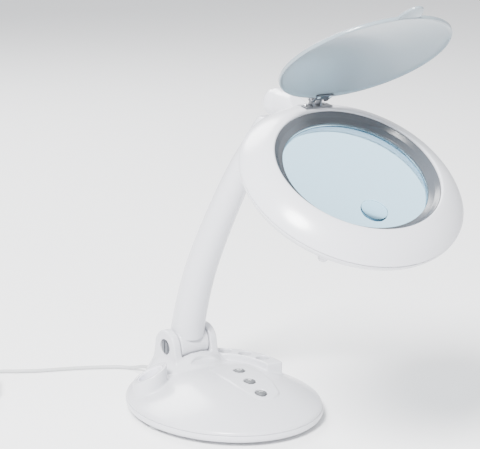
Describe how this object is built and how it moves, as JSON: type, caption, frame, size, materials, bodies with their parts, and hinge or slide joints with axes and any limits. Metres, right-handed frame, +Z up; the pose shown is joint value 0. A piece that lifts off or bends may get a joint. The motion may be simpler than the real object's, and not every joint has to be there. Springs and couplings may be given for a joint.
{
  "type": "magnifying lamp",
  "caption": "Table magnifying lamp: round lens in a ring-shaped lighted head with a flip-up lid, on a curved tilting arm over an oval organiser base with a pen cup and tool holes.",
  "frame": {"origin": "centre of the lamp's outline seen from above, on the table", "axes": "+Z up, the user sits at -Y and the arm rises from the base's back at +Y"},
  "size_m": [0.2804, 0.5475, 0.4158],
  "materials": {
    "white_plastic": "satin gloss white moulding",
    "grey_plastic": "grey moulded button",
    "dark_plastic": "dark grey moulding",
    "inner_plastic": "grey moulding",
    "lid_plastic": "glossy bluish grey moulding",
    "steel": "plated",
    "dark_steel": "dark plated",
    "cast_iron": "as cast",
    "rubber": "soft",
    "board_green": "circuit board",
    "board_white": "white circuit board",
    "clear_glass": "clear optical glass",
    "diffuser": "frosted translucent",
    "cord_plastic": "satin pale grey"
  },
  "bodies": {
    "base": {"base_pan": "white_plastic", "ballast_plate": "cast_iron", "base_shell": "white_plastic", "pen_cup": "inner_plastic", "control_board": "board_green", "strain_relief": "cord_plastic", "pivot_bolt": "steel", "pivot_nut": "steel", "pan_screw_1": "steel", "pan_screw_2": "steel", "pan_screw_3": "steel", "pan_screw_4": "steel", "foot_1": "rubber", "foot_2": "rubber", "foot_3": "rubber", "foot_4": "rubber", "board_screw_1": "steel", "board_screw_2": "steel", "cord_lead": "cord_plastic", "cord_coil": "cord_plastic", "cord_tie": "dark_plastic", "power_supply": "white_plastic"},
    "arm": {"arm_foot": "white_plastic", "arm_tube": "white_plastic", "arm_spine": "steel", "arm_lead": "cord_plastic", "arm_socket": "white_plastic", "friction_washer_left": "dark_steel", "friction_washer_right": "dark_steel"},
    "neck": {"neck_knuckle": "dark_steel"},
    "head": {"neck_pin": "steel", "head_upper_shell": "white_plastic", "head_lower_shell": "white_plastic", "lens_bezel": "inner_plastic", "main_lens": "clear_glass", "insert_lens": "clear_glass", "lens_ring": "inner_plastic", "light_frame": "dark_plastic", "led_board": "board_white", "light_diffuser": "diffuser", "hinge_bracket": "dark_steel", "hinge_screw_left": "steel", "hinge_screw_right": "steel", "hinge_cover": "white_plastic", "head_screw_1": "steel", "head_screw_2": "steel", "head_screw_3": "steel", "head_screw_4": "steel", "lid_pin": "steel"},
    "lid": {"hinge_leaf": "dark_steel", "lid_spring": "steel", "lid_rivet_left": "steel", "lid_rivet_right": "steel", "lid": "lid_plastic"},
    "power_button": {"power_button": "grey_plastic"},
    "brighter_button": {"brighter_button": "grey_plastic"},
    "dimmer_button": {"dimmer_button": "grey_plastic"}
  },
  "joints": [
    {"name": "arm_tilt", "type": "hinge", "parent": "base", "child": "arm", "pos_m": [0.0125, 0.1528, 0.053], "axis": [1, 0, 0], "range_deg": [-25, 12]},
    {"name": "head_swivel", "type": "hinge", "parent": "arm", "child": "neck", "pos_m": [0.0125, 0.013, 0.311], "axis": [0, 0, 1], "range_deg": [-45, 55]},
    {"name": "head_tilt", "type": "hinge", "parent": "neck", "child": "head", "pos_m": [0.0125, 0.013, 0.311], "axis": [0.9877, -0.1564, 0], "range_deg": [-40, 15]},
    {"name": "lid_hinge", "type": "hinge", "parent": "head", "child": "lid", "pos_m": [0.00165, -0.05548, 0.32534], "axis": [0.9877, -0.1564, 0], "range_deg": [-30, 64.5]},
    {"name": "power_press", "type": "slide", "parent": "base", "child": "power_button", "axis": [0, 0, -1], "range_m": [0, 0.0008], "stiffness_N_per_m": 500},
    {"name": "brighter_press", "type": "slide", "parent": "base", "child": "brighter_button", "axis": [0, 0, -1], "range_m": [0, 0.0008], "stiffness_N_per_m": 500},
    {"name": "dimmer_press", "type": "slide", "parent": "base", "child": "dimmer_button", "axis": [0, 0, -1], "range_m": [0, 0.0008], "stiffness_N_per_m": 500}
  ]
}
